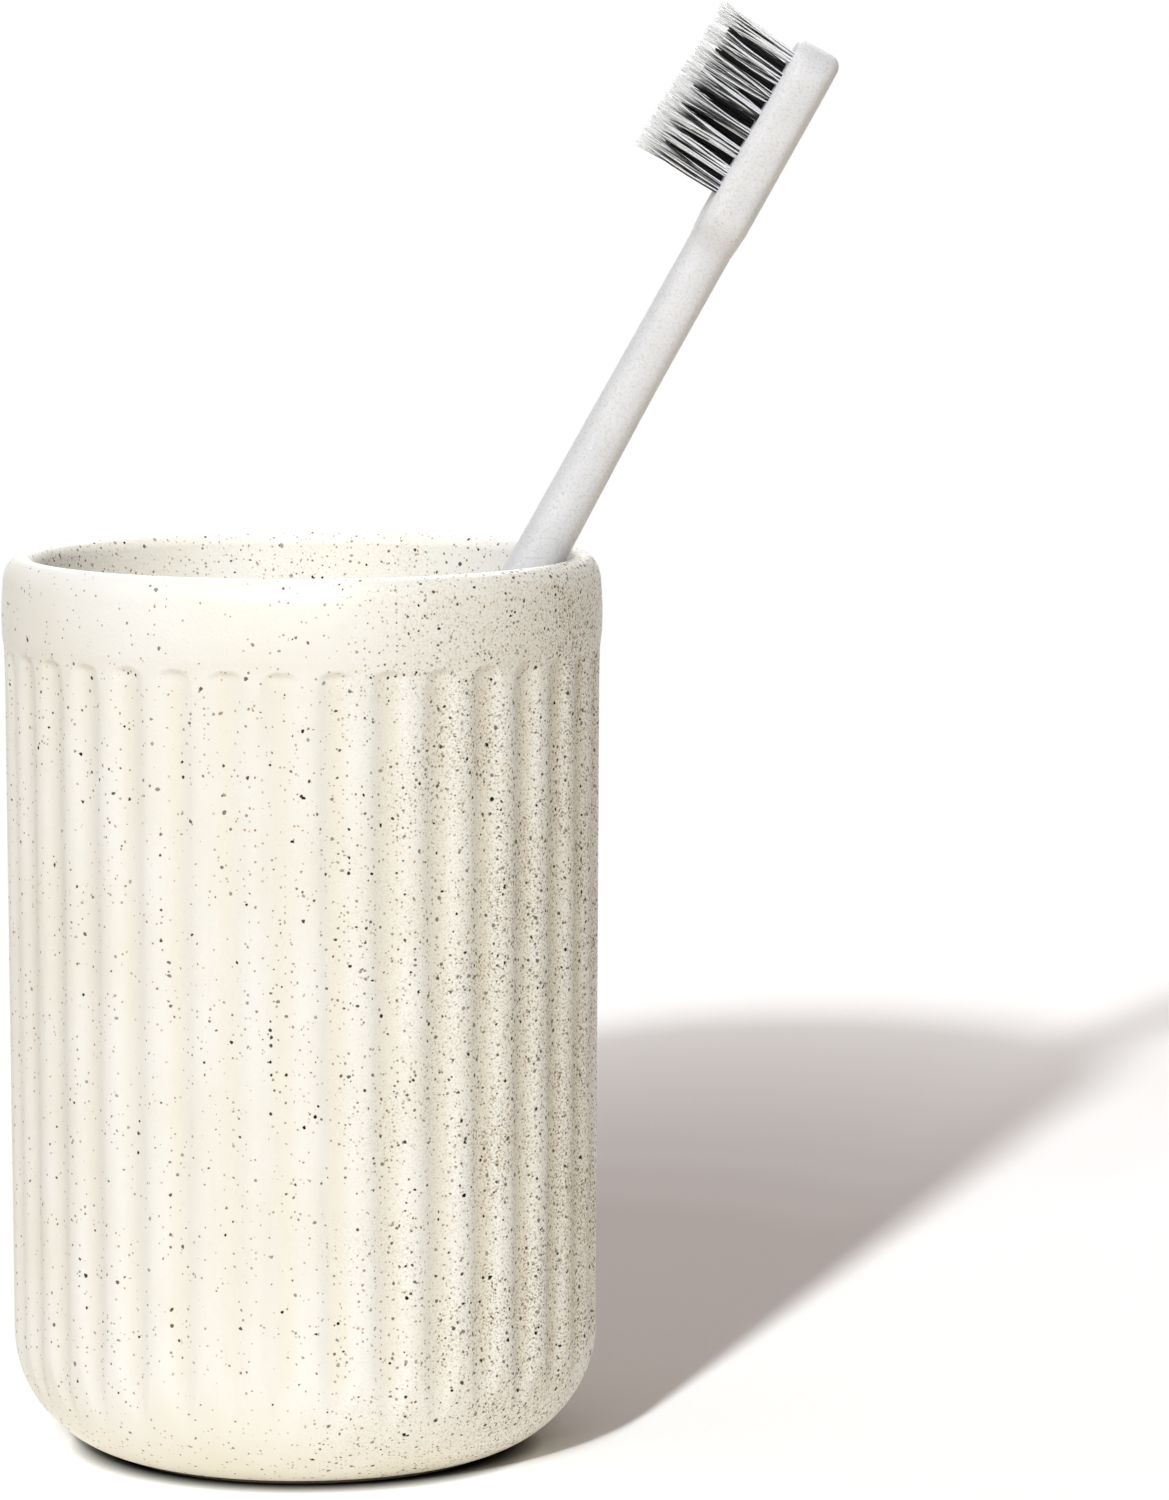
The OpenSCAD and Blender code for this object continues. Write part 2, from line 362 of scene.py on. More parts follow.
def bump(tree, height, depth_mm):
    node = add_node(tree, "ShaderNodeBump", {
        "Height": height, "Distance": depth_mm * MM, "Strength": 1.0})
    return output(node)


def specks(tree, place, spacing_mm, share, radius_mm, seed):
    """Small ragged specks in a share of a Voronoi pattern's cells, and a chance from 0 to 1 for each."""
    seed_steps = (0.37, 0.11, 0.23)
    ragged_size = radius_mm * 1.6
    ragged_reach = radius_mm * 1.3
    moved = vector_math("ADD", place, tuple(seed * step for step in seed_steps))
    ragged = output(add_node(tree, "ShaderNodeTexNoise", {
        "Vector": moved, "Scale": 1 / (ragged_size * MM), "Detail": 1.0}), "Color")
    shifted = vector_math("ADD", moved, vector_math("SCALE", ragged, ragged_reach * MM))
    cells = add_node(tree, "ShaderNodeTexVoronoi", {
        "Vector": shifted, "Scale": 1 / (spacing_mm * MM), "Randomness": 1.0})
    chance, growth, tone = parts_of(output(cells, "Color"))
    size = ramp(growth, 0.0, 1.0, 0.65, 1.05) * (radius_mm / spacing_mm)
    speck = ramp(output(cells, "Distance") / size, 0.7, 1.0, 1.0, 0.0)
    return speck * chance.math("LESS_THAN", share), tone


def glaze_colour(tree, place):
    """Cream with pale clouds, yellower in the flutes, more so on the right, and low down: partly thicker
    glaze, partly painted shade.
    """
    cream = (0.86, 0.845, 0.785, 1)
    pale = (0.89, 0.885, 0.86, 1)
    thick_and_shaded = (0.80, 0.75, 0.61, 1)
    cloud_size = 14.0
    low_top, low_bottom, low_ragged, low_share = 8.0, 1.0, 6.0, 0.35
    pooled_ragged, pooled_share = 0.9, 0.8
    turned, _, height = parts_of(place)
    clouds = noise(tree, place, cloud_size, detail=3.0)
    colour = blend_colours(tree, ramp(clouds, 0.35, 0.7), cream, pale)
    depth = mesh_mark(tree, "valley") + (clouds - 0.5) * pooled_ragged
    pooled_and_shaded = ramp(depth, 0.4, 1.3, 0.0, pooled_share)
    # Painted shade: the yellow in the flutes grows towards the right, the side away from the light
    pooled_and_shaded = pooled_and_shaded * ramp(turned, -CUP_R * MM, CUP_R * MM, 0.3, 1.0)
    colour = blend_colours(tree, pooled_and_shaded, colour, thick_and_shaded)
    # Yellower low down, on the corner that faces the table: partly thicker glaze, partly painted shade
    ragged_height = height + (clouds - 0.5) * low_ragged * MM
    low = ramp(ragged_height, low_top * MM, low_bottom * MM, 0.0, low_share)
    return blend_colours(tree, low, colour, thick_and_shaded)


def speck_crowding(tree, place):
    """How thickly the specks lie: in patches, and outside few on the left and many on the right, where
    the extra specks are partly painted shade on the side away from the light.
    """
    patch_size = 9.0
    crowd_start, band_crowd_start = -5.0, -10.0
    crowd_left, crowd_right, crowd_inside, band_left = 0.33, 2.45, 0.8, 0.5
    turned, _, height = parts_of(place)
    patches = ramp(noise(tree, place, patch_size), 0.3, 0.75, 0.6, 1.1)
    outer = patches * ramp(turned, crowd_start * MM, CUP_R * MM, crowd_left, crowd_right)
    on_band = ramp(height, (BAND_BOTTOM_Z - 1) * MM, (BAND_BOTTOM_Z + 1) * MM)
    thinned = ramp(turned, band_crowd_start * MM, CUP_R * MM, band_left, 1.0)
    outer = outer * blend_numbers(on_band, 1.0, thinned)
    return blend_numbers(mesh_mark(tree, "inside"), outer, patches * crowd_inside)


# Specks of the glaze, in millimetres: spacing, share of the cells, radius, seed, colour and strength
GLAZE_SPECKS = (
    (0.50, 0.52, 0.17, 3.0, (0.38, 0.26, 0.11, 1), 0.85),
    (0.66, 0.40, 0.19, 5.0, (0.19, 0.115, 0.04, 1), 1.0),
    (0.88, 0.43, 0.23, 7.0, (0.035, 0.019, 0.006, 1), 1.0),
    (1.25, 0.50, 0.28, 9.0, (0.008, 0.005, 0.003, 1), 1.0))


def glaze_material():
    """Satin cream glaze with brown specks, over a foot of bare clay that is painted dark as the shade
    under the tumbler.
    """
    material, tree, surface = new_material("speckled_glaze")
    place = object_place(tree)
    colour = glaze_colour(tree, place)
    crowd = speck_crowding(tree, place)
    # Painted shade: a fine dark grain, strong only where the specks crowd on the right, the side away
    # from the light
    shade_grain_size, shade_grain_colour = 0.24, (0.36, 0.30, 0.20, 1)
    shade_grain = ramp(noise(tree, place, shade_grain_size, detail=1.0), 0.44, 0.7, 0.0, 0.4) * (crowd - 0.3)
    colour = blend_colours(tree, shade_grain, colour, shade_grain_colour)
    all_specks = None
    for spacing_mm, share, radius_mm, seed, speck_colour, strength in GLAZE_SPECKS:
        speck, tone = specks(tree, place, spacing_mm, crowd * share, radius_mm, seed)
        shown = speck * ramp(tone, 0.0, 1.0, 0.55, 1.0) * strength
        colour = blend_colours(tree, shown, colour, speck_colour)
        all_specks = speck if all_specks is None else all_specks.math("MAXIMUM", speck)
    # The bare foot is nearly black: painted shade for the gap under the tumbler
    dark_shaded_clay, pale_shaded_clay = (0.11, 0.085, 0.06, 1), (0.19, 0.15, 0.11, 1)
    clay_grain, glaze_line_ragged = 0.5, 1.5
    clay = blend_colours(tree, noise(tree, place, clay_grain, detail=4.0), dark_shaded_clay, pale_shaded_clay)
    ragged = (noise(tree, place, glaze_line_ragged) - 0.5) * 0.4
    bare = ramp(mesh_mark(tree, "unglazed") + ragged, 0.4, 0.6)
    connect(tree, surface.inputs["Base Color"], blend_colours(tree, bare, colour, clay))
    satin_size, peel_size, grain_size = 3.0, 1.1, 0.36
    satin = noise(tree, place, satin_size, detail=3.0)
    rough = ramp(satin, 0.3, 0.7, 0.34, 0.44) + all_specks * 0.12 + bare * 0.45
    connect(tree, surface.inputs["Roughness"], rough)
    connect(tree, surface.inputs["Specular IOR Level"], 0.5 - all_specks * 0.4)
    surface.inputs["IOR"].default_value = 1.5
    peel = noise(tree, place, peel_size)
    grain = noise(tree, place, grain_size, detail=3.0, roughness=0.65)
    relief = peel * 0.6 + grain * 2.0 - all_specks * 0.35
    relief_depth = 0.035
    connect(tree, surface.inputs["Normal"], bump(tree, relief, relief_depth))
    return material


# Fibres of the handle's plastic, in millimetres: spacing, share of the cells, radius, seed and colour
HANDLE_FIBRES = (
    (0.85, 0.45, 0.14, 2.0, (0.52, 0.47, 0.40, 1)),
    (0.70, 0.35, 0.13, 4.0, (0.88, 0.87, 0.86, 1)))


def handle_material():
    """Matt pale grey plastic filled with plant fibre, with a fine beige grain and a slight unevenness."""
    material, tree, surface = new_material("fibre_filled_plastic")
    place = object_place(tree)
    grey, pale_grey, beige = (0.70, 0.712, 0.752, 1), (0.74, 0.746, 0.782, 1), (0.57, 0.53, 0.46, 1)
    cloud_size, grain_size, wave_size = 5.0, 0.32, 1.4
    colour = blend_colours(tree, ramp(noise(tree, place, cloud_size), 0.35, 0.65), grey, pale_grey)
    grain = noise(tree, place, grain_size, detail=3.0, roughness=0.7)
    colour = blend_colours(tree, ramp(grain, 0.46, 0.7, 0.0, 0.65), colour, beige)
    for spacing_mm, share, radius_mm, seed, fibre_colour in HANDLE_FIBRES:
        fibre, tone = specks(tree, place, spacing_mm, share, radius_mm, seed)
        colour = blend_colours(tree, fibre * ramp(tone, 0.0, 1.0, 0.3, 0.8), colour, fibre_colour)
    connect(tree, surface.inputs["Base Color"], colour)
    connect(tree, surface.inputs["Roughness"], ramp(grain, 0.3, 0.7, 0.46, 0.6))
    relief = grain * 1.3 + noise(tree, place, wave_size) * 0.6
    relief_depth = 0.03
    connect(tree, surface.inputs["Normal"], bump(tree, relief, relief_depth))
    return material


def bristle_material(name, shaded_root_colour, tip_colour, odd_and_shade_colour, odd_and_shade_share, roughness):
    """Nylon filaments, paler towards the tip, the darker root being painted shade. A share of them has
    the odd colour, except at the tip; near-black ones in white tufts paint the shade between strands.
    """
    material, tree, surface = new_material(name)
    along = mesh_mark(tree, "along")
    chance = mesh_mark(tree, "chance")
    streak_size, roughness_spread = 0.25, 0.06
    colour = blend_colours(tree, ramp(along, 0.1, 0.95), shaded_root_colour, tip_colour)
    is_odd = ramp(chance, 1 - odd_and_shade_share - 0.02, 1 - odd_and_shade_share)
    odd = is_odd * ramp(along + chance * 0.2, 0.86, 1.1, 1.0, 0.0)
    streaks = noise(tree, object_place(tree), streak_size)
    odd = odd.math("MAXIMUM", ramp(streaks, 0.4, 0.8, 0.0, 0.2))
    connect(tree, surface.inputs["Base Color"], blend_colours(tree, odd, colour, odd_and_shade_colour))
    rough = ramp(chance, 0.0, 1.0, roughness - roughness_spread, roughness + roughness_spread)
    connect(tree, surface.inputs["Roughness"], rough)
    return material


def white_nylon():
    # Near-black filaments among the white paint the shade between strands, and the greyer root paints the
    # tuft's own shade
    return bristle_material(
        "white_nylon", shaded_root_colour=(0.90, 0.92, 0.97, 1), tip_colour=(0.95, 0.97, 0.99, 1),
        odd_and_shade_colour=(0.006, 0.006, 0.007, 1), odd_and_shade_share=0.36, roughness=0.4)


def charcoal_nylon():
    # The darker root is painted shade
    return bristle_material(
        "charcoal_nylon", shaded_root_colour=(0.004, 0.004, 0.005, 1), tip_colour=(0.012, 0.012, 0.014, 1),
        odd_and_shade_colour=(0.03, 0.03, 0.032, 1), odd_and_shade_share=0.3, roughness=0.35)


def anchor_material():
    """Sheared sheet brass with fine rolling lines."""
    material, tree, surface = new_material("anchor_sheet")
    dark_brass, pale_brass = (0.62, 0.53, 0.33, 1), (0.75, 0.66, 0.45, 1)
    line_size = 0.4
    drawn_out = vector_math("MULTIPLY", object_place(tree), (1, 6, 1))
    lines = noise(tree, drawn_out, line_size, detail=3.0)
    connect(tree, surface.inputs["Base Color"], blend_colours(tree, lines, dark_brass, pale_brass))
    connect(tree, surface.inputs["Roughness"], ramp(lines, 0.3, 0.7, 0.25, 0.4))
    surface.inputs["Metallic"].default_value = 1.0
    return material


# Tumbler

class Profile:
    """Rows of the tumbler's outline, from under the foot, up the outside and down to the inner floor."""

    def __init__(self):
        self.points = []
        self.flutes = []
        self.surfaces = []
        self.inside = 0.0

    def row(self, r, z, depth=None, end=0.0, bare=0.0):
        """Adds a ring at radius r and height z, in millimetres.

        Its flutes are about as deep as depth less end. Without a depth it has none. Bare is 1 for clay.
        """
        self.points.append((r, 0, z))
        self.flutes.append((0.0, 1.0, 0) if depth is None else (depth, end, 0))
        self.surfaces.append((bare, self.inside, 0))


def smooth_share(t):
    t = min(1.0, max(0.0, t))
    return t * t * (3 - 2 * t)


def quarter_turn(steps, first=1):
    """Angles up to a right angle, in even steps."""
    return [pi / 2 * i / steps for i in range(first, steps + 1)]


def band_r(z):
    """Radius of the band's slightly swollen face."""
    t = (z - BAND_BOTTOM_Z) / (BAND_H - SHOULDER_H)
    return CUP_R - BAND_BULGE * (2 * t - 1) ** 2


def add_foot(profile):
    """The bare foot, from its middle to the ledge round it."""
    for share in FOOT_SHARES:
        profile.row(FOOT_R * share, 0, bare=1)
    for a in quarter_turn(FOOT_EDGE_ROWS, first=0):
        profile.row(FOOT_R - FOOT_EDGE_R * (1 - sin(a)), FOOT_EDGE_R * (1 - cos(a)), bare=1)
    profile.row(FOOT_R, FOOT_H * BARE_SHARE, bare=1)
    profile.row(FOOT_R + FOOT_STEP_W, FOOT_H, bare=0.5)


def add_base_corner(profile):
    """The ledge, and the rounded corner out of which the flutes grow."""
    corner_x = RIDGE_LOW_R - CORNER_R
    ledge_angle = acos(1 - FOOT_H / CORNER_R)
    ledge_r = corner_x + CORNER_R * sin(ledge_angle)
    profile.row((FOOT_R + ledge_r) / 2, FOOT_H)
    for i in range(CORNER_ROWS + 1):
        a = (pi / 2 - ledge_angle) * (1 - i / CORNER_ROWS)
        r, z = corner_x + CORNER_R * cos(a), CORNER_R * (1 - sin(a))
        profile.row(r, z, FLUTE_DEPTH, FLUTE_FADE * sin(a))


def add_fluted_wall(profile):
    """The wall, with closer rows where the flutes end and the wall turns softly into the band."""
    end_start = BAND_BOTTOM_Z - FLUTE_END_H - FLUTE_END_ROWS_H
    end_span = BAND_BOTTOM_Z + BAND_EDGE_RISE - end_start
    heights = [CORNER_R + (end_start - CORNER_R) * i / WALL_ROWS for i in range(1, WALL_ROWS + 1)]
    heights += [end_start + end_span * i / FLUTE_END_ROWS for i in range(1, FLUTE_END_ROWS + 1)]
    for z in heights:
        ridge_r = RIDGE_LOW_R + WALL_TAPER * (z - CORNER_R) / (BAND_BOTTOM_Z - CORNER_R)
        edge = smooth_share((z - BAND_BOTTOM_Z + BAND_EDGE_DROP) / BAND_EDGE_H)
        r = ridge_r + (band_r(max(z, BAND_BOTTOM_Z)) - ridge_r) * edge
        shallow_span = BAND_BOTTOM_Z - FLUTE_SHALLOW_DROP - end_start
        shallow = FLUTE_SHALLOW_END * smooth_share((z - end_start) / shallow_span)
        lift = max(0.0, z - BAND_BOTTOM_Z + FLUTE_END_ROUND_H) / FLUTE_END_ROUND_H
        profile.row(r, z, FLUTE_DEPTH, shallow + FLUTE_DEPTH * lift ** 3)


def add_band(profile):
    """The plain band and its shoulder."""
    start_z = BAND_BOTTOM_Z + BAND_EDGE_RISE
    span = CUP_H - SHOULDER_H - BAND_BOTTOM_Z - BAND_EDGE_RISE
    for i in range(1, BAND_ROWS + 1):
        z = start_z + span * i / BAND_ROWS
        profile.row(band_r(z), z)
    for a in quarter_turn(SHOULDER_ROWS):
        r = CUP_R - BAND_BULGE - SHOULDER_W * (1 - cos(a))
        profile.row(r, CUP_H - SHOULDER_H * (1 - sin(a)))


def add_inside(profile):
    """The lip's inner edge, the inner wall with its rounded corner, and the floor to its middle."""
    profile.inside = 1.0
    for a in quarter_turn(LIP_ROWS):
        profile.row(INNER_R + LIP_INNER_R * (1 - sin(a)), CUP_H - LIP_INNER_R * (1 - cos(a)))
    for i in range(1, INNER_WALL_ROWS + 1):
        t = i / INNER_WALL_ROWS
        profile.row(INNER_R - WALL_TAPER * t, LIP_Z + (INNER_CORNER_Z - LIP_Z) * t)
    for a in quarter_turn(INNER_CORNER_ROWS):
        profile.row(INNER_CORNER_X + INNER_CORNER_R * cos(a), INNER_CORNER_Z - INNER_CORNER_R * sin(a))
    for share in FLOOR_SHARES:
        profile.row(INNER_CORNER_X * share, FLOOR_H)


def tumbler_profile():
    profile = Profile()
    add_foot(profile)
    add_base_corner(profile)
    add_fluted_wall(profile)
    add_band(profile)
    add_inside(profile)
    return profile


def row_normals(points):
    """Outward unit normals of the outline, each across its two neighbours."""
    normals = []
    for i in range(len(points)):
        r0, _, z0 = points[max(0, i - 1)]
        r1, _, z1 = points[min(len(points) - 1, i + 1)]
        length = hypot(r1 - r0, z1 - z0)
        normals.append(((z1 - z0) / length, 0, -(r1 - r0) / length))
    return normals


def tumbler_tree():
    """Turns the outline round into a grid, and presses each flute into it along the outline's normal."""
    tree, given = geometry_tree("fluted_tumbler", {
        "Rows": "Int", "Flutes": "Int", "Columns per flute": "Int", "Turn": "Float",
        "Ridge softness": "Float", "Unevenness": "Float", "Material": "Material"})
    merge_distance = 1e-6
    columns = given["Flutes"] * given["Columns per flute"]
    grid = add_node(tree, "GeometryNodeMeshGrid", {
        "Vertices X": columns + 1, "Vertices Y": given["Rows"]})
    index = output(add_node(tree, "GeometryNodeInputIndex"))
    row = index.math("MODULO", given["Rows"])
    column = (index / given["Rows"]).math("FLOOR")

    def of_row(value):
        sample = add_node(tree, "GeometryNodeSampleIndex", data_type="FLOAT_VECTOR", domain="POINT")
        for name, item in (("Geometry", given["Geometry"]), ("Value", value), ("Index", row)):
            connect(tree, sample.inputs[name], item)
        return parts_of(output(sample))

    radius, _, height = of_row(output(add_node(tree, "GeometryNodeInputPosition")))
    normal_r, _, normal_z = of_row(named_attribute(tree, "normal_out", "FLOAT_VECTOR"))
    depth, end, _ = of_row(named_attribute(tree, "flute", "FLOAT_VECTOR"))
    bare, inside, _ = of_row(named_attribute(tree, "surface", "FLOAT_VECTOR"))
    across = ((column / given["Columns per flute"]).math("FRACT") * 2 - 1).math("ABSOLUTE")
    hollow = 1 - across * across / VALLEY_SHARE
    crest = (1 - across) * (1 - across) / (1 - VALLEY_SHARE)
    wave = hollow + (crest - hollow) * across.math("GREATER_THAN", VALLEY_SHARE)
    turn = column * (2 * pi) / columns + given["Turn"]
    flat = vector_of(tree, radius * turn.math("COSINE"), radius * turn.math("SINE"), height)
    sway = output(add_node(tree, "ShaderNodeTexNoise", {
        "Vector": flat, "Scale": SWAYS_PER_METRE, "Detail": 1.0}))
    taken_off = end * (sway + 0.5)
    pressed = (depth * wave - taken_off).math("SMOOTH_MAX", 0.0, given["Ridge softness"])
    pressed = pressed.math("MAXIMUM", 0.0)
    inset = (pressed + sway * given["Unevenness"]) * MM
    ring = radius - inset * normal_r
    level = height - inset * normal_z
    place = vector_of(tree, ring * turn.math("COSINE"), ring * turn.math("SINE"), level)
    geometry = add_node(tree, "GeometryNodeSetPosition", {
        "Geometry": grid.outputs["Mesh"], "Position": place}).outputs[0]
    for name, value in (("valley", pressed / FLUTE_DEPTH), ("unglazed", bare), ("inside", inside)):
        geometry = store_attribute(tree, geometry, name, value)
    closed = add_node(tree, "GeometryNodeMergeByDistance", {
        "Geometry": geometry, "Distance": merge_distance})
    smooth = add_node(tree, "GeometryNodeSetShadeSmooth", {"Geometry": closed.outputs[0]})
    end_tree(tree, smooth.outputs[0], given["Material"])
    return tree


def make_tumbler(material):
    profile = tumbler_profile()
    rows = {
        "normal_out": row_normals(profile.points), "flute": profile.flutes, "surface": profile.surfaces}
    piece = grow("stoneware_tumbler", profile.points, rows, tumbler_tree(), {
        "Rows": len(profile.points), "Flutes": FLUTE_COUNT, "Columns per flute": COLUMNS_PER_FLUTE,
        "Turn": radians(RIDGE_PHASE - 90), "Ridge softness": RIDGE_SOFTNESS, "Unevenness": UNEVENNESS,
        "Material": material})
    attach(piece, "tumbler")
    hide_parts("tumbler")
    return piece


# Brush: it stands in the inside corner and leans on the lip, worked out as in the part's source

END_R = HANDLE_T / 2
END_REACH = INNER_CORNER_R - END_R - SEAT_GAP
END_X = -INNER_CORNER_X - END_REACH * sin(radians(END_REST_ANGLE))
END_Z = INNER_CORNER_Z - END_REACH * cos(radians(END_REST_ANGLE))
LIP_DX = INNER_R + LIP_INNER_R - END_X
LIP_DZ = LIP_Z - END_Z
LIP_REACH = LIP_INNER_R + SEAT_GAP + END_R
LEAN = atan2(LIP_DX, LIP_DZ) - asin(LIP_REACH / hypot(LIP_DX, LIP_DZ))
ALONG = Vector((sin(LEAN), 0, cos(LEAN)))
BACK = Vector((cos(LEAN), 0, -sin(LEAN)))
ACROSS = Vector((0, 1, 0))
BRUSH_START = Vector((END_X, 0, END_Z)) - ALONG * END_R

HEAD_LEN = (WHITE_ROWS - 1) * TUFT_PITCH + 2 * LAST_TUFT_BACK
NECK_START = HEAD_LEN + HEAD_TAPER_LEN
NECK_END = NECK_START + NECK_LEN
GRIP_START = NECK_END + GRIP_TAPER_LEN


def on_brush(back, across, along):
    """A point of the brush, in millimetres, by its distances to the back, across and up from its end."""
    return BRUSH_START + BACK * back + ACROSS * across + ALONG * along


def ease(s, low, high):
    return smooth_share((s - low) / (high - low))


def round_share(q, r):
    """Share of the full width that a rounded end of length r leaves at a distance q from its tip."""
    return 1.0 if q >= r else sqrt(max(0.0, 1 - (1 - q / r) ** 2))


def edge_loss(q, r):
    """What an edge rounded to radius r takes off at a distance q from the end."""
    return 0.0 if q >= r else r - sqrt(max(0.0, r ** 2 - (r - q) ** 2))


def handle_ring(s, sides):
    """The section of the handle at a distance s from its end."""
    to_tip = BRUSH_LEN - s
    head = ease(s, BRUSH_LEN - NECK_START, BRUSH_LEN - HEAD_LEN)
    slim = ease(s, BRUSH_LEN - GRIP_START, BRUSH_LEN - NECK_END)
    half = round_share(s, END_LEN) * round_share(to_tip, NOSE_LEN) * (
        HANDLE_W / 2
        + (NECK_W - HANDLE_W) / 2 * slim
        + (HEAD_W - NECK_W) / 2 * head)
    plain = round_share(s, END_R) * HANDLE_T / 2
    back = plain - (HANDLE_T - NECK_T) * slim + (HEAD_T - NECK_T) * head - edge_loss(to_tip, TIP_BACK_R)
    front = plain + FACE_CROWN * head - edge_loss(to_tip, TIP_FRONT_R)
    face = HANDLE_T / 2 - edge_loss(to_tip, TIP_FRONT_R)
    power = 2 / (GRIP_SQUARE + (HEAD_SQUARE - GRIP_SQUARE) * head)
    ring = []
    for i in range(sides):
        a = 2 * pi * i / sides
        c = abs(cos(a)) ** power * (1 if cos(a) > 0 else -1)
        d = abs(sin(a)) ** power * (1 if sin(a) > 0 else -1)
        ring.append(on_brush(max((back if c > 0 else front) * c, -face), half * d, s))
    return ring


def handle_stations():
    """Distances of the handle's sections from its end, close together at both ends."""
    angles = [FIRST_SECTION_ANGLE + (90 - FIRST_SECTION_ANGLE) * i / HANDLE_END_STEPS
              for i in range(HANDLE_END_STEPS + 1)]
    ends = [1 - cos(radians(a)) for a in angles]
    middle = BRUSH_LEN - NOSE_LEN
    return (
        [END_LEN * e for e in ends]
        + [END_LEN + (middle - END_LEN) * i / HANDLE_STEPS for i in range(1, HANDLE_STEPS)]
        + [BRUSH_LEN - NOSE_LEN * e for e in reversed(ends)])


def make_handle(material):
    sides = HANDLE_SIDES
    rings = [handle_ring(s, sides) for s in handle_stations()]
    points = [p * MM for ring in rings for p in ring]
    faces = []
    for r in range(len(rings) - 1):
        for i in range(sides):
            a, b = r * sides + i, r * sides + (i + 1) % sides
            faces.append((a, b, b + sides, a + sides))
    last = (len(rings) - 1) * sides
    faces.append(tuple(reversed(range(sides))))
    faces.append(tuple(last + i for i in range(sides)))
    mesh = bpy.data.meshes.new("brush_handle_skin")
    mesh.from_pydata([tuple(p) for p in points], [], faces)
    mesh.materials.append(material)
    mesh.shade_smooth()
    piece = link_object("brush_handle_skin", mesh)
    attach(piece, "toothbrush")
    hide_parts("brush_handle")
    return piece


def bristle_tree():
    """Fans filaments out of every tuft's root, each with a length, bend and lean of its own."""
    tree, given = geometry_tree("tufts_of_bristles", {
        "Filaments": "Int", "Root radius": "Float", "Tip radius": "Float", "Length": "Float",
        "Filament radius": "Float", "Slant": "Float", "Ragged": "Float", "Seed": "Int",
        "Outward": "Vector", "Along": "Vector", "Across": "Vector", "Material": "Material"})
    golden_angle = radians(137.508)
    angle_spread, tip_angle_spread, tip_share_spread = 0.25, 0.9, 0.3
    fan_power, tip_thinning = 1.5, 0.5

    def random(low, high, extra_seed):
        node = add_node(tree, "FunctionNodeRandomValue", data_type="FLOAT")
        connect(tree, node.inputs[2], low)
        connect(tree, node.inputs[3], high)
        connect(tree, node.inputs["Seed"], given["Seed"] + extra_seed)
        return output(node, 1)

    def offset(distance, turn):
        sideways = vector_math("SCALE", given["Along"], distance * turn.math("COSINE"))
        crossways = vector_math("SCALE", given["Across"], distance * turn.math("SINE"))
        return vector_math("ADD", sideways, crossways)

    many = add_node(tree, "GeometryNodeDuplicateElements", domain="POINT")
    connect(tree, many.inputs["Geometry"], given["Geometry"])
    connect(tree, many.inputs["Amount"], given["Filaments"])
    order = output(many, "Duplicate Index")
    angle = order * golden_angle + random(-angle_spread, angle_spread, 1)
    share = ((order + 0.5) / given["Filaments"]).math("SQRT")
    tip_angle = angle + random(-tip_angle_spread, tip_angle_spread, 2)
    tip_share = share + random(-tip_share_spread, tip_share_spread, 3)
    start = output(add_node(tree, "GeometryNodeInputPosition"))
    sunk = vector_math("SCALE", given["Outward"], -ROOT_SUNK * MM)
    at_root = offset(share * given["Root radius"], angle)
    root = vector_math("ADD", start, vector_math("ADD", at_root, sunk))
    trim = parts_of(named_attribute(tree, "trim", "FLOAT_VECTOR"))[0]
    length = (given["Length"] + trim) * (1 - random(0.0, 1.0, 4) * given["Ragged"])
    outwards = vector_math("SCALE", given["Outward"], length)
    slanted = vector_math("SCALE", given["Along"], length * given["Slant"])
    reach = vector_math("ADD", outwards, slanted)
    spread = vector_math("SUBTRACT", offset(tip_share * given["Tip radius"], tip_angle), at_root)
    bend = offset(random(-FILAMENT_BEND * MM, FILAMENT_BEND * MM, 5), random(0.0, 2 * pi, 6))
    points = many.outputs[0]
    for name, value in (("root", root), ("reach", reach), ("spread", spread), ("bend", bend)):
        points = store_attribute(tree, points, name, value, "FLOAT_VECTOR")
    points = store_attribute(tree, points, "chance", random(0.0, 1.0, 7))
    line = add_node(tree, "GeometryNodeCurvePrimitiveLine")
    stepped = add_node(tree, "GeometryNodeResampleCurve", {
        "Curve": line.outputs[0], "Count": FILAMENT_STEPS})
    placed = add_node(tree, "GeometryNodeInstanceOnPoints", {
        "Points": points, "Instance": stepped.outputs[0]})
    real = add_node(tree, "GeometryNodeRealizeInstances", {0: placed.outputs[0]})
    along = output(add_node(tree, "GeometryNodeSplineParameter"), "Factor")
    shares = {"reach": along, "spread": along.math("POWER", fan_power), "bend": (along * pi).math("SINE")}
    position = named_attribute(tree, "root", "FLOAT_VECTOR")
    for name, part in shares.items():
        step = vector_math("SCALE", named_attribute(tree, name, "FLOAT_VECTOR"), part)
        position = vector_math("ADD", position, step)
    laid = add_node(tree, "GeometryNodeSetPosition", {"Geometry": real.outputs[0], "Position": position})
    marked = store_attribute(tree, laid.outputs[0], "along", along)
    thinned = 1 - (along * along * along * along) * tip_thinning
    sized = add_node(tree, "GeometryNodeSetCurveRadius", {
        "Curve": marked, "Radius": given["Filament radius"] * thinned})
    section = add_node(tree, "GeometryNodeCurvePrimitiveCircle", {
        "Resolution": FILAMENT_SIDES, "Radius": 1.0})
    skin = add_node(tree, "GeometryNodeCurveToMesh", {
        "Curve": sized.outputs[0], "Profile Curve": section.outputs[0], "Fill Caps": True,
        "Scale": output(add_node(tree, "GeometryNodeInputRadius"))})
    smooth = add_node(tree, "GeometryNodeSetShadeSmooth", {"Geometry": skin.outputs[0]})
    end_tree(tree, smooth.outputs[0], given["Material"])
    return tree


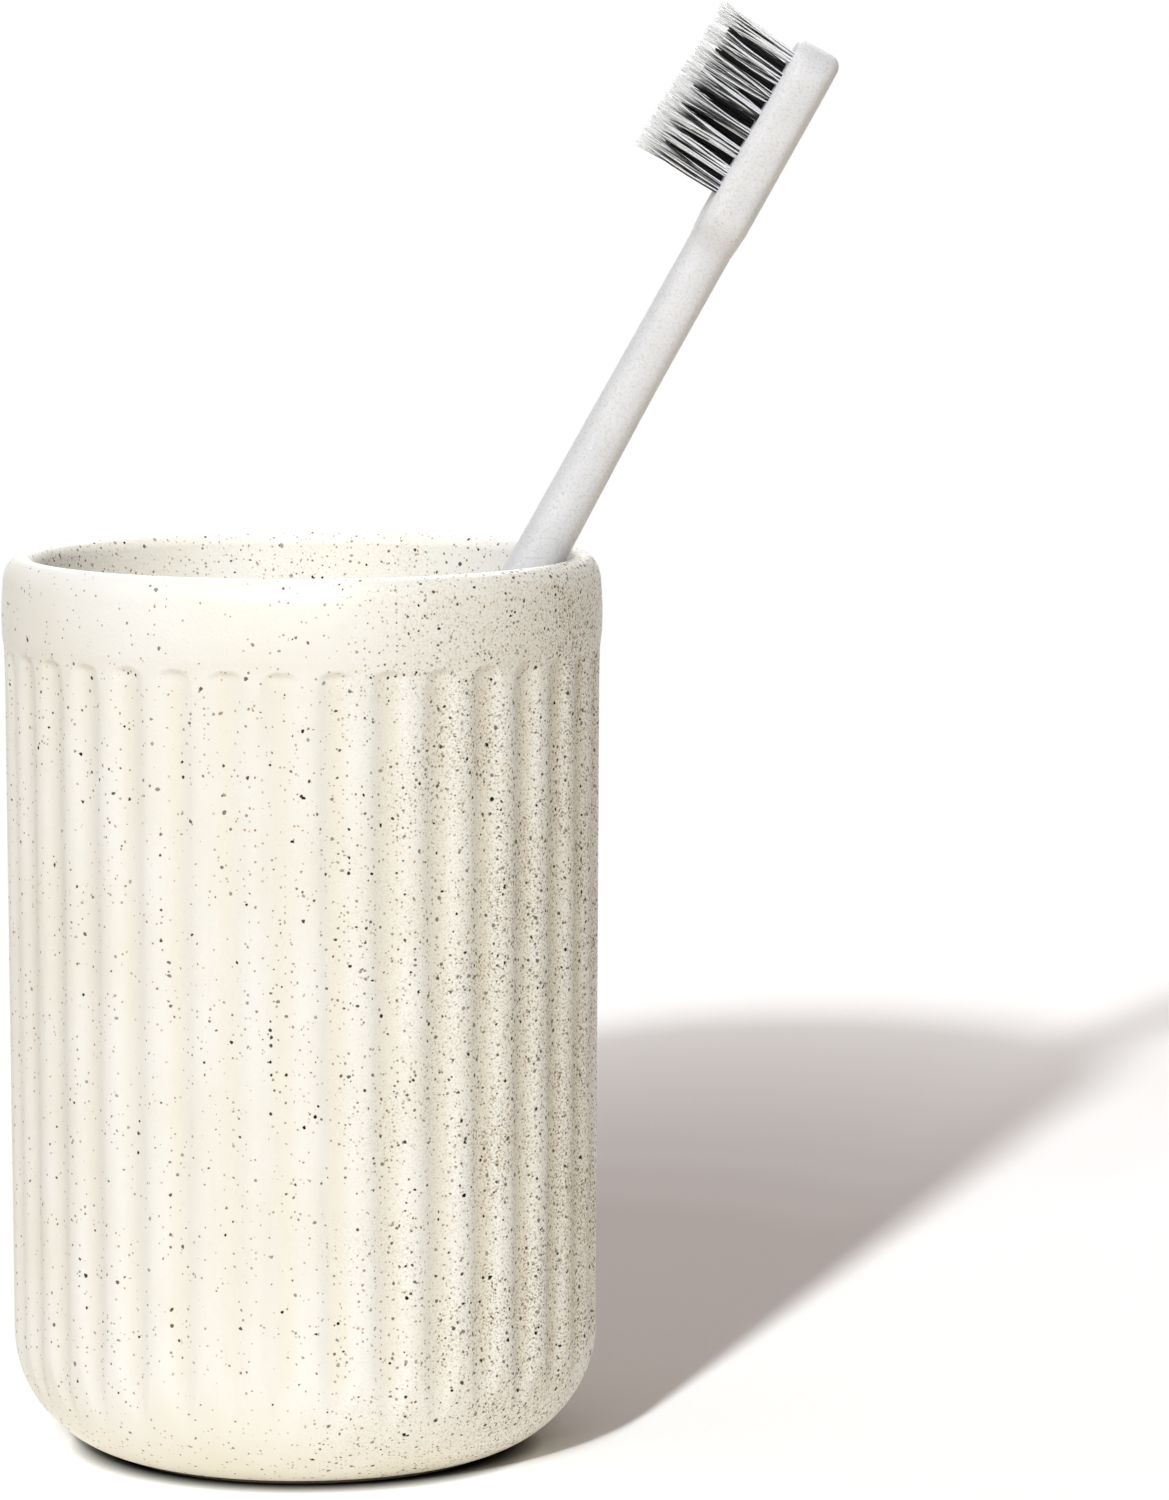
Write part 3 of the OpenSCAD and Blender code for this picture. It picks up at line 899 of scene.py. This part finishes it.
def tuft_root(along, across):
    """Where a tuft leaves the head's face, from its distance back from the last row."""
    return on_brush(-HANDLE_T / 2, across, BRUSH_LEN - LAST_TUFT_BACK - along)


def trim_of(root):
    """How much longer than in the last row a tuft is, in metres, by its distance back from that row."""
    last_row = BRUSH_START + ALONG * (BRUSH_LEN - LAST_TUFT_BACK)
    return (last_row - root).dot(ALONG) / TUFT_PITCH * TRIM_STEP * MM


def make_tufts(tree, name, roots, nodes, material, sizes):
    """The filaments of all tufts of one colour, as one piece. Lengths in sizes are in millimetres."""
    trims = [(trim_of(root), 0, 0) for root in roots]
    piece = grow(name, roots, {"trim": trims}, tree, {
        "Filaments": sizes["count"], "Seed": sizes["seed"], "Ragged": 0.04,
        "Root radius": sizes["root_r"] * MM, "Tip radius": sizes["tip_r"] * MM,
        "Length": sizes["length"] * MM, "Filament radius": BRISTLE_D / 2 * MM,
        "Slant": tan(radians(BRISTLE_SLANT)), "Outward": -BACK, "Along": ALONG, "Across": ACROSS,
        "Material": material})
    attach(piece, "toothbrush")
    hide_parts(*nodes)
    return piece


def make_white_bristles(tree, material):
    rows = range(1, WHITE_ROWS + 1)
    shifts = {1: FIRST_ROW_SHIFT, WHITE_ROWS: LAST_ROW_SHIFT}
    roots = [tuft_root((WHITE_ROWS - i) * TUFT_PITCH - shifts.get(i, 0), side * COLUMN_PITCH)
             for side in (-1, 1) for i in rows]
    nodes = [f"white_tuft_{side}_{i}" for side in ("left", "right") for i in rows]
    sizes = {"length": WHITE_LEN + FRAYED_LEN, "root_r": 0.70, "tip_r": 1.25, "count": 32, "seed": 11}
    return make_tufts(tree, "white_bristles", roots, nodes, material, sizes)


def make_charcoal_bristles(tree, material):
    rows = range(1, CHARCOAL_ROWS + 1)
    roots = [tuft_root((CHARCOAL_ROWS - i + 0.5) * TUFT_PITCH, 0) for i in rows]
    nodes = [f"charcoal_tuft_{i}" for i in rows]
    sizes = {"length": CHARCOAL_LEN, "root_r": 0.60, "tip_r": 1.0, "count": 36, "seed": 47}
    return make_tufts(tree, "charcoal_bristles", roots, nodes, material, sizes)


# Floor, light and camera

def shows_background(tree):
    """1 for rays from the camera, also by way of gloss or glass, and 0 for those of a matt surface."""
    path = add_node(tree, "ShaderNodeLightPath")
    seen = output(path, "Is Camera Ray")
    for ray in ("Is Glossy Ray", "Is Transmission Ray"):
        seen = seen.math("MAXIMUM", output(path, ray))
    return seen


def table_material():
    """White paper, with a painted contact shadow close round the foot, and pure white far away. It throws
    back a warmer light, and more of it near the foot, which is painted bounce light.
    """
    material, tree, surface = new_material("white_paper")
    place = object_place(tree)
    from_axis = length_of(place)
    paper_grey, paper_white = (0.9, 0.9, 0.9, 1), (0.92, 0.92, 0.92, 1)
    contact_shadow_colour, least_clear, contact_shadow_power = (0.01, 0.009, 0.008, 1), 0.05, 1.8
    near_painted_bounce, far_glow = (0.88, 0.84, 0.75, 1), (0.66, 0.61, 0.52, 1)
    grain_size, near_end, far_start = 0.8, 0.04, 0.12
    white = blend_colours(tree, noise(tree, place, grain_size, detail=3.0), paper_grey, paper_white)
    # Painted contact shadow: the paper goes nearly black towards the foot's edge
    clear = (from_axis - FOOT_R * MM) / (CONTACT_SHADOW_W * MM)
    clear = clear.math("MAXIMUM", least_clear).math("MINIMUM", 1.0).math("POWER", contact_shadow_power)
    seen = blend_colours(tree, clear, contact_shadow_colour, white)
    # Painted bounce light: for scattered rays the paper is brighter near the foot than far off
    thrown_back = blend_colours(tree, ramp(from_axis, near_end, far_start), near_painted_bounce, far_glow)
    scattered = output(add_node(tree, "ShaderNodeLightPath"), "Is Diffuse Ray")
    far = ramp(from_axis, BACKDROP_START, BACKDROP_END) * shows_background(tree)
    colour = blend_colours(tree, far, blend_colours(tree, scattered, seen, thrown_back), (0, 0, 0, 1))
    connect(tree, surface.inputs["Base Color"], colour)
    surface.inputs["Emission Color"].default_value = (1, 1, 1, 1)
    connect(tree, surface.inputs["Emission Strength"], far)
    surface.inputs["Roughness"].default_value = 1.0
    surface.inputs["Specular IOR Level"].default_value = 0.0
    return material


def make_floor():
    size = TABLE_HALF_SIZE
    mesh = bpy.data.meshes.new("table_top")
    corners = [(-size, -size, 0), (size, -size, 0), (size, size, 0), (-size, size, 0)]
    mesh.from_pydata(corners, [], [(0, 1, 2, 3)])
    mesh.materials.append(table_material())
    floor = link_object("table_top", mesh)
    return floor


def group_of(name, pieces):
    group = bpy.data.collections.new(name)
    for piece in pieces:
        group.objects.link(piece)
    return group


def add_lamp(name, kind, source, target, lit, **settings):
    """A lamp at source that points at target and lights only the named group."""
    lamp = link_object(name, bpy.data.lights.new(name, kind))
    for key, value in settings.items():
        setattr(lamp.data, key, value)
    lamp.location = source
    lamp.rotation_euler = (Vector(target) - Vector(source)).to_track_quat("-Z", "Y").to_euler()
    lamp.light_linking.receiver_collection = lit
    return lamp


def from_direction(azimuth, elevation, distance):
    """A place seen from the origin, in degrees left of the camera's side and above the table."""
    a, e = radians(azimuth), radians(elevation)
    return Vector((-sin(a) * cos(e), -cos(a) * cos(e), sin(e))) * distance


def light_evenly(lamp):
    """Lets a near lamp light the table alike at every distance, so that only its shadow spreads."""
    lamp.data.use_nodes = True
    tree = lamp.data.node_tree
    distance = output(add_node(tree, "ShaderNodeLightPath"), "Ray Length")
    falloff = add_node(tree, "ShaderNodeLightFalloff", {"Strength": distance})
    connect(tree, tree.nodes["Emission"].inputs["Strength"], output(falloff, "Constant"))


# Lamps that make the shadow, in millimetres: its length, share of the light and the lamp's radius
SHADOW_LAMPS = (
    (300, 1.32, 20), (274, 0.21, 24), (244, 0.19, 24), (214, 0.17, 26),
    (186, 0.13, 28), (156, 0.122, 28), (126, 0.116, 35))


def light_table(lit):
    """A tall strip of near lamps, whose shadow spreads and softens along its length, and a sky."""
    white = (0.95, 0.99, 1.0)
    for i, (reach_mm, share, radius_mm) in enumerate(SHADOW_LAMPS):
        height = CUP_H * MM * (LAMP_DISTANCE + reach_mm * MM) / (reach_mm * MM)
        source = from_direction(LAMP_AZIMUTH, 0, LAMP_DISTANCE) + Vector((0, 0, height))
        lamp = add_lamp(
            f"shadow_lamp_{i + 1}", "POINT", source, (0, 0, 0), lit,
            energy=share * 4 * pi / height, shadow_soft_size=radius_mm * MM, color=white)
        light_evenly(lamp)
    add_lamp("floor_sky", "SUN", from_direction(20, 70, 2), (0, 0, 0), lit,
             energy=0.98, angle=radians(110), color=(1.0, 0.88, 0.86))


def light_pieces(lit):
    """A key light, softer ones above and behind, a small one for the mouth, and a card at the right."""
    middle = (0, 0, 0.07)
    mouth = (-0.003, 0.031, 0.104)
    low_right = (0.02, 0, 0.045)
    add_lamp("key_softbox", "AREA", from_direction(15, 42, 1.1), middle, lit,
             energy=8.4, shape="SQUARE", size=0.4, color=(0.96, 0.985, 1.0))
    add_lamp("top_softbox", "AREA", (0.02, -0.1, 1.1), middle, lit,
             energy=1.2, shape="SQUARE", size=0.6, color=(0.985, 1.0, 1.0))
    add_lamp("mouth_spot", "SPOT", (0.02, -0.45, 0.33), mouth, lit,
             energy=3.7, spot_size=radians(7.8), spot_blend=1.0, shadow_soft_size=0.01,
             color=(1.0, 0.94, 0.80))
    add_lamp("right_card", "AREA", (0.07, -0.14, 0.03), low_right, lit,
             energy=0.016, shape="SQUARE", size=0.06, color=(1.0, 0.97, 0.92))
    add_lamp("back_softbox", "AREA", from_direction(185, 40, 1.1), middle, lit,
             energy=5.5, shape="SQUARE", size=0.6, color=(1.0, 0.985, 0.96))


def make_room():
    """A dim room, paler on the left, which shows as plain white."""
    left_wall, right_wall = (0.22, 0.20, 0.185, 1), (0.11, 0.09, 0.073, 1)
    world = bpy.data.worlds.new("studio")
    bpy.context.scene.world = world
    world.use_nodes = True
    tree = world.node_tree
    side = parts_of(output(add_node(tree, "ShaderNodeTexCoord"), "Generated"))[0]
    room = blend_colours(tree, ramp(side, -1.0, 1.0), left_wall, right_wall)
    colour = blend_colours(tree, shows_background(tree), room, (1, 1, 1, 1))
    connect(tree, tree.nodes["Background"].inputs["Color"], colour)


def make_camera():
    camera = link_object("camera", bpy.data.cameras.new("camera"))
    camera.data.sensor_fit = "VERTICAL"
    camera.data.sensor_height = SENSOR_HEIGHT
    camera.data.lens = FOCAL_PIXELS / PICTURE_HEIGHT * camera.data.sensor_height
    camera.data.clip_start = 0.01
    camera.data.clip_end = 200
    camera.location = CAMERA_PLACE
    camera.rotation_euler = (pi / 2 - CAMERA_DOWN, 0, CAMERA_TURN)
    bpy.context.scene.camera = camera


make_camera()
tumbler = make_tumbler(glaze_material())
handle = make_handle(handle_material())
fan = bristle_tree()
white_bristles = make_white_bristles(fan, white_nylon())
charcoal_bristles = make_charcoal_bristles(fan, charcoal_nylon())
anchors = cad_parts["tuft_anchors"]
anchors.data.materials.clear()
anchors.data.materials.append(anchor_material())
floor = make_floor()
light_table(group_of("lit_floor", [floor]))
light_pieces(group_of("lit_pieces", [tumbler, handle, white_bristles, charcoal_bristles, anchors]))
make_room()

view = bpy.context.scene.view_settings
view.view_transform = "Standard"
